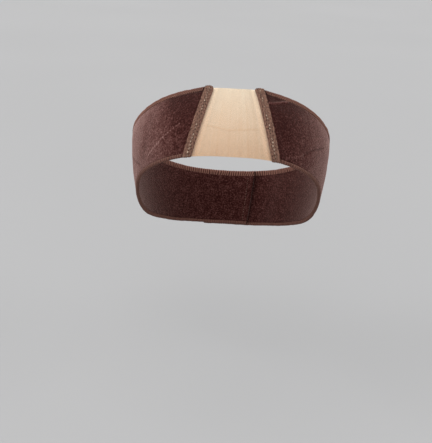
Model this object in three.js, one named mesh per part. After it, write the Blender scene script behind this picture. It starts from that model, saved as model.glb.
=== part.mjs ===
// Wig grip band, closed as it is worn: two velvet strips run from a sheer lace panel at the brow,
// over the sides and down to tabs that lap at the nape.
// Millimetres, +Z up, brow towards -Y. The origin is the middle of the open hollow inside the band.
import * as THREE from 'three';
import { mergeVertices } from 'three/addons/utils/BufferGeometryUtils.js';

// The hollow: half sizes at its widest level, and the heights at which it closes above and below that.
const HOLLOW = { halfWidth: 75, halfDepth: 92, rise: 66, drop: 140 };

// Heights of the band's two edges, by turn from the middle of the brow (0) to the nape (180).
const EDGES = [
  { turn: 0, bottom: 14.5, top: 53.4 },
  { turn: 30, bottom: 7.9, top: 50.8 },
  { turn: 60, bottom: -17.9, top: 37.7 },
  { turn: 90, bottom: -63, top: 4.8 },
  { turn: 120, bottom: -85, top: -28 },
  { turn: 150, bottom: -95, top: -47 },
  { turn: 180, bottom: -98, top: -53 },
];

const GAP = 0.3; // between neighbouring layers

// Widths run across the cloth, leaves and thicknesses through it. Turns are in degrees.
const LACE = { thick: 1, inset: 0.4, tuck: 5, crown: 0.1, spans: 8, steps: 14 };
const BINDING = { width: 6, leaf: 0.6, cavity: 1.4, topInset: 1.4, steps: 12 };
// Turns of the bindings' folds, which lean in towards the top, and how far right the lace is worn.
const FOLD_TURN = { bottom: 20.75, top: 16.9, shift: 0.65 };
const EDGING = { leaf: 0.6, cavity: 1.6, steps: 40 };
const EDGING_WIDTH = { top: 4.4, bottom: 2.6 };
const VELVET = { width: 57, inner: 0.2, outer: 2.4, crown: 0.25, hemRamp: 1.5, spans: 8, steps: 40 };
const FRONT = { edge: 1.7, thick: 0.8, ramp: 7, dip: 1.6 }; // the strip's squeezed end inside its binding
const LAP = { tabTurn: 200, rampStart: 132, rampEnd: 157, lift: 4.3, side: 1 }; // side 1 lies outside
const PATCH = { width: 24, halfTurn: 13, thick: 1.1, crown: 0.1, spans: 5, steps: 8 };

const { degToRad, lerp, smoothstep } = THREE.MathUtils;
const SIDES = { left: -1, right: 1 };

const edgeHeights = new THREE.CubicInterpolant(
  EDGES.map((row) => row.turn),
  EDGES.flatMap((row) => [row.bottom, row.top]),
  2,
);
edgeHeights.settings = { endingStart: THREE.ZeroSlopeEnding, endingEnd: THREE.ZeroSlopeEnding };

const closingHeight = (z) => (z > 0 ? HOLLOW.rise : HOLLOW.drop);

// The line up the cloth at one turn, on the wall of the hollow, from the lower edge to the upper one.
class ClothLine extends THREE.Curve {
  constructor(turn) {
    super();
    const around = Math.abs(turn);
    [this.bottom, this.top] = edgeHeights.evaluate(around > 180 ? 360 - around : around);
    this.angle = degToRad(turn);
    this.arcLengthDivisions = 24;
  }

  getPoint(t, target = new THREE.Vector3()) {
    const z = lerp(this.bottom, this.top, t);
    const share = Math.sqrt(1 - (z / closingHeight(z)) ** 2);
    const x = HOLLOW.halfWidth * share * Math.sin(this.angle);
    const y = -HOLLOW.halfDepth * share * Math.cos(this.angle);
    return target.set(x, y, z);
  }
}

// The direction square to the hollow's wall, out of the hollow.
function outward(point) {
  const x = point.x / HOLLOW.halfWidth ** 2;
  const y = point.y / HOLLOW.halfDepth ** 2;
  const z = point.z / closingHeight(point.z) ** 2;
  return new THREE.Vector3(x, y, z).normalize();
}

// A point of the band: share 0 is the lower edge and 1 the upper one, out is the distance off the wall.
function onCloth(turn, share, out) {
  const foot = new ClothLine(turn).getPointAt(share);
  return foot.addScaledVector(outward(foot), out);
}

// The cloth's width, square to its own slanting run.
function clothWidth(turn) {
  const run = onCloth(turn + 1, 0.5, 0).sub(onCloth(turn - 1, 0.5, 0));
  return new ClothLine(turn).getLength() * (Math.hypot(run.x, run.y) / run.length());
}

// The turn that lies a given distance round the band from another turn.
function turnAlong(turn, share, distance) {
  const perDegree = onCloth(turn - 0.5, share, 0).distanceTo(onCloth(turn + 0.5, share, 0));
  return turn + distance / perDegree;
}

// The turn at a distance behind a binding's fold, away from the brow.
function turnPastFold(side, share, distance) {
  const lean = lerp(FOLD_TURN.top, FOLD_TURN.bottom, (1 - share) ** 2);
  return turnAlong(lean + side * FOLD_TURN.shift, share, distance);
}

// How far the outer strip is lifted, towards its tab, to lie over the inner tab.
function lapLift(side, turn) {
  if (side !== LAP.side) return 0;
  return LAP.lift * smoothstep(turn, LAP.rampStart, LAP.rampEnd);
}

// 1 at the strip's squeezed front end, 0 where it has its own thickness.
function frontSqueeze(side, turn, share) {
  const start = turnPastFold(side, share, BINDING.width + GAP);
  const end = turnPastFold(side, share, BINDING.width + GAP + FRONT.ramp);
  return 1 - smoothstep(turn, start, end);
}

// How high up the cloth the strip's upper edge lies: the squeezed front end dips a little.
const stripTop = (side, turn) => clothWidth(turn) - FRONT.dip * frontSqueeze(side, turn, 1);

const bindingBase = LACE.thick + LACE.crown + GAP;
const frontInner = bindingBase + BINDING.leaf + (BINDING.cavity - FRONT.thick) / 2;

// Distance off the wall of a layer in the strip, with the squeeze at the front and the lift at the lap.
function stripOut(side, turn, share, layer) {
  const squeezed = frontInner + (layer - VELVET.inner) * (FRONT.thick / (VELVET.outer - VELVET.inner));
  return lerp(layer, squeezed, frontSqueeze(side, turn, share)) + lapLift(side, turn);
}

// Turns the faces of a mirrored piece outwards again.
function faceOut(geometry) {
  const { index, attributes } = geometry;
  const corners = [0, 1, 2].map(() => new THREE.Vector3());
  let volume = 0;
  for (let i = 0; i < index.count; i += 3) {
    corners.forEach((corner, k) => corner.fromBufferAttribute(attributes.position, index.getX(i + k)));
    volume += corners[0].dot(corners[1].cross(corners[2]));
  }
  if (volume > 0) return;
  for (let i = 0; i < index.count; i += 3) {
    const swapped = index.getX(i);
    index.setX(i, index.getX(i + 1));
    index.setX(i + 1, swapped);
  }
}

// A flat section run out into a straight strip, then laid on the band by place(across, through, along).
function layStrip(section, steps, place) {
  const run = { depth: 1, steps, bevelEnabled: false, curveSegments: 2 };
  const strip = new THREE.ExtrudeGeometry(section, run);
  const { position } = strip.attributes;
  for (let i = 0; i < position.count; i += 1) {
    const spot = place(position.getX(i), position.getY(i), position.getZ(i));
    position.setXYZ(i, spot.x, spot.y, spot.z);
  }
  strip.deleteAttribute('normal');
  strip.deleteAttribute('uv');
  const cloth = mergeVertices(strip);
  faceOut(cloth);
  cloth.computeVertexNormals();
  return cloth;
}

// A tape folded in two: the fold is at 0 across, and the leaves lie on either side of a cavity.
function foldedTape({ width, leaf, cavity }) {
  const radius = leaf + cavity / 2;
  const thick = 2 * radius;
  const section = new THREE.Shape();
  section.moveTo(width, 0);
  section.lineTo(width, leaf);
  section.lineTo(radius, leaf);
  section.absarc(radius, radius, cavity / 2, -Math.PI / 2, -1.5 * Math.PI, true);
  section.lineTo(width, thick - leaf);
  section.lineTo(width, thick);
  section.lineTo(radius, thick);
  section.absarc(radius, radius, radius, Math.PI / 2, 1.5 * Math.PI, false);
  return section;
}

// A wall with both faces slightly crowned, from 0 to 1 across.
function crownedWall({ thick, crown, spans }) {
  const face = (level) => Array.from({ length: spans + 1 }, (_, i) => {
    const across = i / spans;
    return new THREE.Vector2(across, level + crown * Math.sin(Math.PI * across));
  });
  return new THREE.Shape([...face(0), ...face(thick).reverse()]);
}

// How far in from the velvet's lower and upper edge its full thickness starts.
const lowHem = EDGING_WIDTH.bottom + GAP + VELVET.hemRamp;
const highHem = EDGING_WIDTH.top + GAP + VELVET.hemRamp;

// The velvet strip's section: full in the middle, pressed thin in the hems that the edgings fold over.
function velvetSection() {
  const hemEdge = EDGING.leaf + EDGING.cavity / 2;
  const hemInner = EDGING.leaf + GAP;
  const hemOuter = EDGING.leaf + EDGING.cavity - GAP;
  const face = (hem, level, crown) => {
    const middle = Array.from({ length: VELVET.spans + 1 }, (_, i) => {
      const across = lerp(lowHem, VELVET.width - highHem, i / VELVET.spans);
      return new THREE.Vector2(across, level + crown * Math.sin((Math.PI * i) / VELVET.spans));
    });
    const lowEnd = [hemEdge, EDGING_WIDTH.bottom + GAP];
    const highEnd = [VELVET.width - EDGING_WIDTH.top - GAP, VELVET.width - hemEdge];
    const hemPoints = (ends) => ends.map((across) => new THREE.Vector2(across, hem));
    return [...hemPoints(lowEnd), ...middle, ...hemPoints(highEnd)];
  };
  const inside = face(hemInner, VELVET.inner, VELVET.crown / 2);
  const outside = face(hemOuter, VELVET.outer, VELVET.crown);
  return new THREE.Shape([...inside, ...outside.reverse()]);
}

// Share up the cloth of a place across the velvet: hems keep their width, the middle takes up the taper.
function velvetShare(side, turn, across) {
  const width = clothWidth(turn);
  const top = stripTop(side, turn);
  if (across <= lowHem) return across / width;
  if (across >= VELVET.width - highHem) return (top - VELVET.width + across) / width;
  const upMiddle = (across - lowHem) / (VELVET.width - lowHem - highHem);
  return lerp(lowHem, top - highHem, upMiddle) / width;
}

function velvetStrip(side) {
  return layStrip(velvetSection(), VELVET.steps, (across, layer, along) => {
    const start = turnPastFold(side, across / VELVET.width, FRONT.edge);
    const turn = lerp(start, LAP.tabTurn, along);
    const share = velvetShare(side, turn, across);
    return onCloth(side * turn, share, stripOut(side, turn, share, layer));
  });
}

// Edging over the upper or lower edge of a strip, starting clear of the binding.
function edging(side, upper) {
  const start = turnPastFold(side, upper ? 1 : 0, BINDING.width + GAP);
  const middleLayer = EDGING.leaf + EDGING.cavity / 2;
  const width = upper ? EDGING_WIDTH.top : EDGING_WIDTH.bottom;
  return layStrip(foldedTape({ ...EDGING, width }), EDGING.steps, (across, layer, along) => {
    const turn = lerp(start, LAP.tabTurn, along);
    const share = (upper ? stripTop(side, turn) - across : across) / clothWidth(turn);
    const out = stripOut(side, turn, share, middleLayer) + layer - middleLayer;
    return onCloth(side * turn, share, out);
  });
}

// Binding over the front end of a strip, from the lower edge to just short of the upper one.
function binding(side) {
  return layStrip(foldedTape(BINDING), BINDING.steps, (across, layer, along) => {
    const share = along * (1 - BINDING.topInset / clothWidth(FOLD_TURN.top));
    return onCloth(side * turnPastFold(side, share, across), share, bindingBase + layer);
  });
}

// Lace between the bindings, with its side edges tucked under them.
function lacePanel() {
  return layStrip(crownedWall(LACE), LACE.steps, (across, layer, along) => {
    const inset = LACE.inset / clothWidth(0);
    const share = lerp(inset, 1 - inset, across);
    const [left, right] = Object.values(SIDES).map((side) => side * turnPastFold(side, share, LACE.tuck));
    return onCloth(lerp(left, right, along), share, layer);
  });
}

// Patch that holds the outer tab to the inner one.
function hookPatch() {
  const base = VELVET.outer + VELVET.crown + GAP;
  return layStrip(crownedWall(PATCH), PATCH.steps, (across, layer, along) => {
    const turn = lerp(180 - PATCH.halfTurn, 180 + PATCH.halfTurn, along);
    const share = 0.5 + (across - 0.5) * (PATCH.width / clothWidth(turn));
    return onCloth(turn, share, base + layer);
  });
}

const FINISHES = {
  velvet: { color: 0x4b2a26, roughness: 0.95, metalness: 0 },
  edging: { color: 0x6a483f, roughness: 0.9, metalness: 0 },
  binding: { color: 0x8c725f, roughness: 0.9, metalness: 0 },
  lace: { color: 0xdcc4a4, roughness: 0.85, metalness: 0 },
  patch: { color: 0x2c211f, roughness: 0.8, metalness: 0 },
};

function piece(name, geometry, finish) {
  const mesh = new THREE.Mesh(geometry, new THREE.MeshStandardMaterial(FINISHES[finish]));
  mesh.name = name;
  return mesh;
}

const band = new THREE.Group();
for (const [name, side] of Object.entries(SIDES)) {
  band.add(piece(`velvet_${name}`, velvetStrip(side), 'velvet'));
  band.add(piece(`top_edging_${name}`, edging(side, true), 'edging'));
  band.add(piece(`bottom_edging_${name}`, edging(side, false), 'edging'));
  band.add(piece(`binding_${name}`, binding(side), 'binding'));
}
band.add(piece('lace_panel', lacePanel(), 'lace'));
band.add(piece('hook_patch', hookPatch(), 'patch'));

export default band;
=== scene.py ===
# %% [markdown]
# # A velvet wig grip band
# The band is worn round the hairline. Two velvet strips are joined at the brow by a sheer lace panel and
# lap at the nape, and narrow edgings and two knit bindings finish their edges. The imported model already
# holds the true form, so this lesson only dresses it: every cloth piece is worked out again as a fine
# numpy surface on the same wall, with its creases, ribs, loops, stitches and net as real relief.

import bpy
import numpy as np
from mathutils import Matrix


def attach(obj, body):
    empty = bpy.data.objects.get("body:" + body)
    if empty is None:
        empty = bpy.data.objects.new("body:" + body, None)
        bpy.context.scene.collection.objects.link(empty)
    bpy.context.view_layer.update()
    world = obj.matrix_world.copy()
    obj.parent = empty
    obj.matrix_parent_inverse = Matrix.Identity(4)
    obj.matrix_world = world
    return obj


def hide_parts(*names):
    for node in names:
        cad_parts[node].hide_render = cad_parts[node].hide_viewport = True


MM = 0.001
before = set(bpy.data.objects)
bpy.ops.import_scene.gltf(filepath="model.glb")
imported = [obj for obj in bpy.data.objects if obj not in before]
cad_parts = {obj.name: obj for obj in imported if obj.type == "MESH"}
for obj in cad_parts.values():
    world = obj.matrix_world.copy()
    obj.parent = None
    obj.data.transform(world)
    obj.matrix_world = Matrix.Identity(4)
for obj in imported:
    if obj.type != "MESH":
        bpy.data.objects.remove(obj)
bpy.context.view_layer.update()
print("nodes:", ", ".join(sorted(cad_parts)))

# %% [markdown]
# ## The wall that the cloth lies on
# Worn, the band takes the form of what it goes round: an egg-shaped hollow. Its plan is an ellipse that
# closes in above and below the widest level. One could shrink-wrap flat strips onto a mesh, but a formula
# gives every piece the same wall, so layers keep exact distances. The two edges of the band are heights
# that follow the turn angle, from the brow at 0 to the nape at 180 degrees.

# %% The hollow's wall and the band's two edges
HALF_WIDTH, HALF_DEPTH = 75.0, 92.0
RISE, DROP = 66.0, 140.0
ROW_STEP = 30.0
EDGE_ROWS = np.array(
    # lower edge and upper edge in mm, one row for each 30 degrees from brow to nape
    [[14.5, 53.4], [7.9, 50.8], [-17.9, 37.7], [-63.0, 4.8], [-85.0, -28.0], [-95.0, -47.0], [-98.0, -53.0]]
)


def smooth(value, start, end):
    """Rises from 0 at start to 1 at end along the cubic 3t^2 - 2t^3."""
    t = np.clip((value - start) / (end - start), 0, 1)
    return t * t * (3 - 2 * t)


def edge_heights(turn):
    """Lower and upper edge: a Hermite cubic between rows, with slopes from each row's two neighbours. Rows
    beyond the brow and the nape are mirrored."""
    around = np.minimum(np.abs(turn), 360 - np.abs(turn))
    last = len(EDGE_ROWS) - 1
    row = np.clip((around / ROW_STEP).astype(int), 0, last - 1)
    u = (around / ROW_STEP - row)[..., None]
    before, here, there, after = (EDGE_ROWS[last - np.abs(last - np.abs(row + k))] for k in (-1, 0, 1, 2))
    leave, arrive = (there - before) / 2, (after - here) / 2
    heights = here + (there - here) * (3 * u**2 - 2 * u**3)
    heights = heights + leave * (u**3 - 2 * u**2 + u) + arrive * (u**3 - u**2)
    return heights[..., 0], heights[..., 1]


print("edges at the brow:", [float(h) for h in edge_heights(np.array(0.0))])

# %% [markdown]
# A point of the band has three numbers: the turn, the share of the way up the cloth, and the distance off
# the wall. The share is measured along the curved cloth and not by height, so that hems and stitches keep
# their size where the cloth leans back. Each point finds its height by walking up its own line in short
# steps, as a tape measure would.

# %% From turn, share and distance to a place
STEPS_UP = 33


def unit(vectors):
    """Vectors over their own lengths."""
    return vectors / np.linalg.norm(vectors, axis=-1, keepdims=True)


def closing_height(z):
    """The height at which the wall closes: one value above the widest level and another below it."""
    return np.where(z > 0, RISE, DROP)


def narrowing(z):
    """The plan's size at a height as a share of the widest: the root of 1 - (z / closing height)^2."""
    return np.sqrt(np.clip(1 - (z / closing_height(z)) ** 2, 0, 1))


def up_the_cloth(turn):
    """Heights and running lengths of short steps up the cloth at each turn, along the last axis."""
    bottom, top = edge_heights(turn)
    z = bottom[..., None] + (top - bottom)[..., None] * np.linspace(0, 1, STEPS_UP)
    angle = np.radians(turn)
    reach = np.hypot(HALF_WIDTH * np.sin(angle), HALF_DEPTH * np.cos(angle))[..., None]
    step = np.hypot(np.diff(narrowing(z), axis=-1) * reach, np.diff(z, axis=-1))
    return z, np.concatenate([np.zeros_like(z[..., :1]), np.cumsum(step, axis=-1)], axis=-1)


def on_cloth(turn, share, out):
    """Points in mm: the ellipse at the height that lies share of the way up the cloth, pushed out along the
    wall's normal, which is each coordinate over its half size squared."""
    turn, share, out = (np.asarray(a, float) for a in np.broadcast_arrays(turn, share, out))
    ladder, length = up_the_cloth(turn.ravel())
    length = length / length[:, -1:]
    at = share.ravel()
    rows = np.arange(len(at))
    k = np.clip((length <= at[:, None]).sum(1) - 1, 0, STEPS_UP - 2)
    part = (at - length[rows, k]) / (length[rows, k + 1] - length[rows, k])
    z = ladder[rows, k] + part * (ladder[rows, k + 1] - ladder[rows, k])
    angle, plan = np.radians(turn.ravel()), narrowing(z)
    spot = np.stack([HALF_WIDTH * plan * np.sin(angle), -HALF_DEPTH * plan * np.cos(angle), z], 1)
    half_sizes = np.stack([np.full_like(z, HALF_WIDTH), np.full_like(z, HALF_DEPTH), closing_height(z)], 1)
    normal = unit(spot / half_sizes**2)
    return (spot + out.ravel()[:, None] * normal).reshape(*turn.shape, 3)


print("brow edge points in mm:", on_cloth(0, np.array([0.0, 1.0]), 0).round(1).tolist())

# %% [markdown]
# Some lengths depend on the turn alone: how wide the cloth is square to its own run, how steeply it falls,
# and how far it has come round from the brow. They are measured once in a fine table and then looked up.
# Relief needs two directions that are square to each other, or a round bump would turn out slanting.

# %% Widths and running lengths by turn
TURN_END, TURN_COUNT = 210, 421
TURNS = np.linspace(0, TURN_END, TURN_COUNT)
middles = on_cloth(TURNS, 0.5, 0)
runs = np.gradient(middles, axis=0)
level_runs = np.hypot(runs[:, 0], runs[:, 1])
FALLS = -runs[:, 2] / level_runs
WIDTHS = up_the_cloth(TURNS)[1][:, -1] * level_runs / np.linalg.norm(runs, axis=1)
ALONGS = np.concatenate([[0], np.cumsum(np.linalg.norm(np.diff(middles, axis=0), axis=1))])


def cloth_width(turn):
    """Width of the band in mm, square to its run."""
    return np.interp(np.abs(turn), TURNS, WIDTHS)


def along_cloth(turn):
    """Distance in mm from the middle of the brow, along the middle of the band."""
    return np.interp(np.abs(turn), TURNS, ALONGS)


def cloth_xy(turn, share):
    """Distances in mm along the cloth and across it from its middle, square to each other: going up the wall
    also goes back along a falling band, by its slope."""
    across = (share - 0.5) * cloth_width(turn)
    return along_cloth(turn) - across * np.interp(np.abs(turn), TURNS, FALLS), across


def turn_at(along):
    """The turn at a distance in mm along the middle of the band, the inverse of along_cloth."""
    return np.interp(along, ALONGS, TURNS)


def turn_along(turn, share, distance):
    """The turn that lies a distance in mm further round: the distance over the length of a degree there."""
    ahead, behind = on_cloth(turn + 0.5, share, 0), on_cloth(turn - 0.5, share, 0)
    return turn + distance / np.linalg.norm(ahead - behind, axis=-1)


print("width in mm at brow, side and nape:", cloth_width(np.array([0, 90, 180])).round(1).tolist())

# %% [markdown]
# ## Layers
# At the front the lace lies lowest, then comes the inner leaf of the binding, the pressed end of the velvet
# and the outer leaf. At the nape one tab is lifted over the other. These distances off the wall are the
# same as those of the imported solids, so nothing needs fitting.

# %% Distances off the wall
GAP = 0.3
LACE_THICK, LACE_TUCK, LACE_INSET = 1.0, 5.0, 0.4
BINDING_WIDTH, BINDING_LEAF, BINDING_CAVITY, BINDING_TOP_INSET = 6.0, 0.6, 1.4, 1.4
BINDING_BASE = 1.4
FOLD_TURN_BOTTOM, FOLD_TURN_TOP, FOLD_SHIFT = 20.75, 16.9, 0.65
EDGING_WIDTHS = {"top": 4.4, "bottom": 2.6}
EDGING_LEAF, EDGING_CAVITY = 0.6, 1.6
EDGING_MIDDLE = EDGING_LEAF + EDGING_CAVITY / 2
VELVET_WIDTH, VELVET_INNER, VELVET_OUTER, VELVET_CROWN = 57.0, 0.2, 2.4, 0.25
FRONT_EDGE, FRONT_THICK, FRONT_RAMP, FRONT_DIP = 1.7, 0.8, 7.0, 1.6
FRONT_INNER = BINDING_BASE + BINDING_LEAF + (BINDING_CAVITY - FRONT_THICK) / 2
TAB_TURN, LAP_START, LAP_END, LAP_LIFT, LAP_SIDE = 200.0, 132.0, 157.0, 4.3, 1
SIDES = {"left": -1, "right": 1}


def turn_past_fold(side, share, distance):
    """The turn at a distance in mm behind a binding's fold, which leans in to the top along a parabola. Both
    folds are shifted a little to the right, as the band is worn."""
    lean = FOLD_TURN_TOP + (FOLD_TURN_BOTTOM - FOLD_TURN_TOP) * (1 - np.asarray(share, float)) ** 2
    return turn_along(lean + side * FOLD_SHIFT, share, distance)


def front_press(side, turn, share):
    """1 in the strip's pressed front end, falling smoothly to 0 behind the binding."""
    start = turn_past_fold(side, share, BINDING_WIDTH + GAP)
    end = turn_past_fold(side, share, BINDING_WIDTH + GAP + FRONT_RAMP)
    return 1 - smooth(turn, start, end)


def strip_top(side, turn):
    """Distance in mm up the cloth of the strip's upper edge, which dips a little at the pressed end."""
    return cloth_width(turn) - FRONT_DIP * front_press(side, turn, 1.0)


def strip_out(side, turn, share, layer):
    """Distance off the wall of a layer in the strip: pressed thin at the front, lifted at the outer tab."""
    pressed = FRONT_INNER + (layer - VELVET_INNER) * FRONT_THICK / (VELVET_OUTER - VELVET_INNER)
    lift = LAP_LIFT * smooth(turn, LAP_START, LAP_END) if side == LAP_SIDE else 0
    return layer + (pressed - layer) * front_press(side, turn, share) + lift


print("pressed velvet in mm off the wall:", round(FRONT_INNER, 2), round(FRONT_INNER + FRONT_THICK, 2))

# %% [markdown]
# ## Putting arrays into meshes
# Every piece of the band is one of two kinds: a shell, which is an outer and an inner grid joined at their
# rims, or a bundle of tubes, which is a section carried along many paths at once. Both become plain arrays
# of points and of faces, and one function writes those into a mesh. It turns the faces outwards by the sign
# of the volume that they enclose, because mirrored pieces come out reversed.

# %% From arrays to a mesh object
SHARP_ANGLE = np.radians(55)


def put_in_scene(name, data):
    """A new object for a mesh, a lamp or a camera."""
    thing = bpy.data.objects.new(name, data)
    bpy.context.scene.collection.objects.link(thing)
    return thing


def signed_volume(points, faces):
    """Six times the volume enclosed: the sum over each face's fan of corner . (corner x corner)."""
    first = points[faces[:, 0]]
    fans = [np.cross(points[faces[:, k]], points[faces[:, k + 1]]) for k in range(1, faces.shape[1] - 1)]
    return sum((first * fan).sum() for fan in fans)


def make_piece(name, points, face_blocks, finish, slot, node=None, **attributes):
    """Writes points in mm and blocks of faces into a mesh object in metres, faces outwards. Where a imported
    node is named, the piece stands for it."""
    points = points.reshape(-1, 3)
    if sum(signed_volume(points, block) for block in face_blocks) < 0:
        face_blocks = [block[:, ::-1] for block in face_blocks]
    corners = np.concatenate([block.ravel() for block in face_blocks])
    sizes = np.concatenate([np.full(len(block), block.shape[1]) for block in face_blocks])
    mesh = bpy.data.meshes.new(name)
    mesh.vertices.add(len(points))
    mesh.vertices.foreach_set("co", (points * MM).ravel())
    mesh.loops.add(len(corners))
    mesh.loops.foreach_set("vertex_index", corners.astype(np.int32))
    mesh.polygons.add(len(sizes))
    mesh.polygons.foreach_set("loop_start", (np.cumsum(sizes) - sizes).astype(np.int32))
    mesh.update(calc_edges=True)
    mesh.shade_smooth()
    mesh.set_sharp_from_angle(angle=SHARP_ANGLE)
    for label, values in attributes.items():
        kind, key = ("FLOAT_VECTOR", "vector") if values.size > len(points) else ("FLOAT", "value")
        mesh.attributes.new(label, kind, "POINT").data.foreach_set(key, values.astype(np.float32).ravel())
    mesh.materials.append(finish)
    piece = put_in_scene(name, mesh)
    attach(piece, "root")
    if node:
        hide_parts(node)
    print(f"{name}: {len(points)} points, {int((sizes - 2).sum())} triangles")
    return piece


print("edges sharper than", round(float(np.degrees(SHARP_ANGLE))), "degrees stay sharp")

# %% [markdown]
# A shell's two grids share one numbering, the inner one after the outer. Its rims are quads between the
# first and last rows and columns, so it is closed all round. Its inner face takes other pattern coordinates
# than its outer one, so that the two don't show the same marks.

# %% Shells
BACK_SHIFT = 10


def shell_faces(rows, columns):
    """Quads of an outer grid, of an inner grid after it, and of the four rims that join them."""
    outer = np.arange(rows * columns).reshape(rows, columns)
    inner = outer + rows * columns
    corners = [
        (outer[:-1, :-1], outer[1:, :-1], outer[1:, 1:], outer[:-1, 1:]),
        (inner[:-1, :-1], inner[:-1, 1:], inner[1:, 1:], inner[1:, :-1]),
        (outer[0, :-1], outer[0, 1:], inner[0, 1:], inner[0, :-1]),
        (outer[-1, 1:], outer[-1, :-1], inner[-1, :-1], inner[-1, 1:]),
        (outer[1:, 0], outer[:-1, 0], inner[:-1, 0], inner[1:, 0]),
        (outer[:-1, -1], outer[1:, -1], inner[1:, -1], inner[:-1, -1]),
    ]
    return [np.concatenate([np.stack(four, -1).reshape(-1, 4) for four in corners])]


def make_shell(name, outer, inner, finish, slot, x, y, **more):
    """A closed piece between two grids of points, with pattern coordinates x and y in mm of cloth."""
    x, y = np.broadcast_arrays(x, y)
    cloth = np.stack([np.stack([x, row, np.zeros_like(x)], -1) for row in (y, -y - BACK_SHIFT)])
    points, faces = np.stack([outer, inner]), shell_faces(*x.shape)
    return make_piece(name, points, faces, finish, slot, cloth=cloth, **more)


print("quads of a 3 by 3 shell:", len(shell_faces(3, 3)[0]))

# %% [markdown]
# A thread is a tube. Whole rows of threads are made together: the array of paths has one row for each
# thread, rings are set round every point in one step, and the two ends are capped.

# %% Threads
ROUND_STEP = 0.3


def tubes(paths, normals, radius, sides):
    """Rings round every point of every path, in the plane of the normal and the tangent's cross product,
    with their side quads and end caps. Paths and normals have the shape (tubes, points, 3)."""
    tangent = np.gradient(paths, axis=1)
    across = unit(np.cross(tangent, normals))
    up = unit(np.cross(across, tangent))
    angle = 2 * np.pi * np.arange(sides) / sides
    ring = np.cos(angle)[:, None] * across[:, :, None] + np.sin(angle)[:, None] * up[:, :, None]
    points = paths[:, :, None] + np.broadcast_to(radius, paths.shape[:2])[:, :, None, None] * ring
    index = np.arange(points[..., 0].size).reshape(points.shape[:3])
    turned = np.roll(index, -1, axis=2)
    walls = np.stack([index[:, :-1], turned[:, :-1], turned[:, 1:], index[:, 1:]], -1).reshape(-1, 4)
    caps = np.concatenate([index[:, 0, ::-1], index[:, -1]])
    return points, [walls, caps]


def make_threads(name, place, x, y, radius, sides, finish, slot, node=None, **tones):
    """A piece of many tubes. place(step) gives the paths moved off the cloth by a step in mm, x and y are
    their pattern coordinates, and tones are more values for each point, such as its height. The pattern's
    third coordinate grows by a step in mm from each side of a thread to the next."""
    paths = place(0.0)
    points, faces = tubes(paths, unit(place(1.0) - paths), radius, sides)
    around = np.arange(sides) + np.zeros(points.shape[:3])

    def spread(values):
        """The same value all round each ring."""
        return np.broadcast_to(values, paths.shape[:2])[..., None] + 0 * around

    cloth = np.stack([spread(x), spread(y), ROUND_STEP * around], -1)
    tones = {label: spread(values) for label, values in tones.items()}
    return make_piece(name, points, faces, finish, slot, node, cloth=cloth, **tones)


print("thread helpers made, with a pattern step of", ROUND_STEP, "mm")

# %% [markdown]
# ## Node helpers for finishes
# A finish is a small tree of shader nodes. Constants go straight onto the shader's own sockets, and only
# what varies over the cloth is linked. Patterns on threads read attributes in millimetres of cloth, so a
# fibre has its real size everywhere.

# %% Starting and ending a finish


def add_node(tree, kind, values=None, **settings):
    """Makes a node, sets its options, and gives each named socket a value or a link."""
    made = tree.nodes.new(kind)
    for option, value in settings.items():
        setattr(made, option, value)
    for socket, value in (values or {}).items():
        if isinstance(value, bpy.types.NodeSocket):
            tree.links.new(value, made.inputs[socket])
        else:
            made.inputs[socket].default_value = value
    return made


def shader_socket(finish, label):
    """A socket of the finish's Principled shader, its name written with underscores for spaces."""
    return finish.node_tree.nodes["Principled BSDF"].inputs[label.replace("_", " ")]


def start_finish(name, **constants):
    """A material whose shader sockets hold the given constants, and its tree of nodes."""
    finish = bpy.data.materials.new(name)
    finish.use_nodes = True
    for label, value in constants.items():
        shader_socket(finish, label).default_value = value
    return finish, finish.node_tree


def end_finish(finish, **varying):
    """Links what varies over the cloth to its shader sockets."""
    for label, value in varying.items():
        finish.node_tree.links.new(value, shader_socket(finish, label))
    return finish


print("finishes start from the Principled shader")

# %% [markdown]
# The patterns themselves are few: noise on some coordinates, a weighted sum of values, a ramp of colours,
# a colour made stronger by a value, and a bump.

# %% Patterns


def stored(tree, label, output="Fac"):
    """A number stored on the mesh's points, or a vector with the output Vector."""
    return add_node(tree, "ShaderNodeAttribute", attribute_name=label).outputs[output]


def own_place(tree):
    """The piece's own coordinates in metres, alike in every direction."""
    return add_node(tree, "ShaderNodeTexCoord").outputs["Object"]


def noise(tree, place, scale, detail=2.0, roughness=0.6):
    """Noise at a place, with a scale for each unit of its coordinates."""
    values = {"Vector": place, "Scale": scale, "Detail": detail, "Roughness": roughness}
    return add_node(tree, "ShaderNodeTexNoise", values).outputs["Fac"]


def weighted_sum(tree, *pairs):
    """The sum of sockets times their weights."""
    total = 0.0
    for value, weight in pairs:
        node = add_node(tree, "ShaderNodeMath", {0: value, 1: weight, 2: total}, operation="MULTIPLY_ADD")
        total = node.outputs["Value"]
    return total


def colour_steps(tree, value, stops):
    """A colour ramp with the given (position, linear colour) stops."""
    ramp = add_node(tree, "ShaderNodeValToRGB", {"Fac": value})
    while len(ramp.color_ramp.elements) < len(stops):
        ramp.color_ramp.elements.new(0.5)
    for element, (position, colour) in zip(ramp.color_ramp.elements, stops):
        element.position = position
        element.color = (*colour, 1)
    return ramp.outputs["Color"]


def scaled(tree, colour, label):
    """A colour times a number stored on the mesh's points."""
    values = {"Vector": colour, "Scale": stored(tree, label)}
    return add_node(tree, "ShaderNodeVectorMath", values, operation="SCALE").outputs["Vector"]


def bump_on(tree, height, distance, strength=1.0):
    """A bump whose height socket counts in units of distance, in metres."""
    values = {"Height": height, "Distance": distance, "Strength": strength}
    return add_node(tree, "ShaderNodeBump", values).outputs["Normal"]


print("pattern helpers made")

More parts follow.
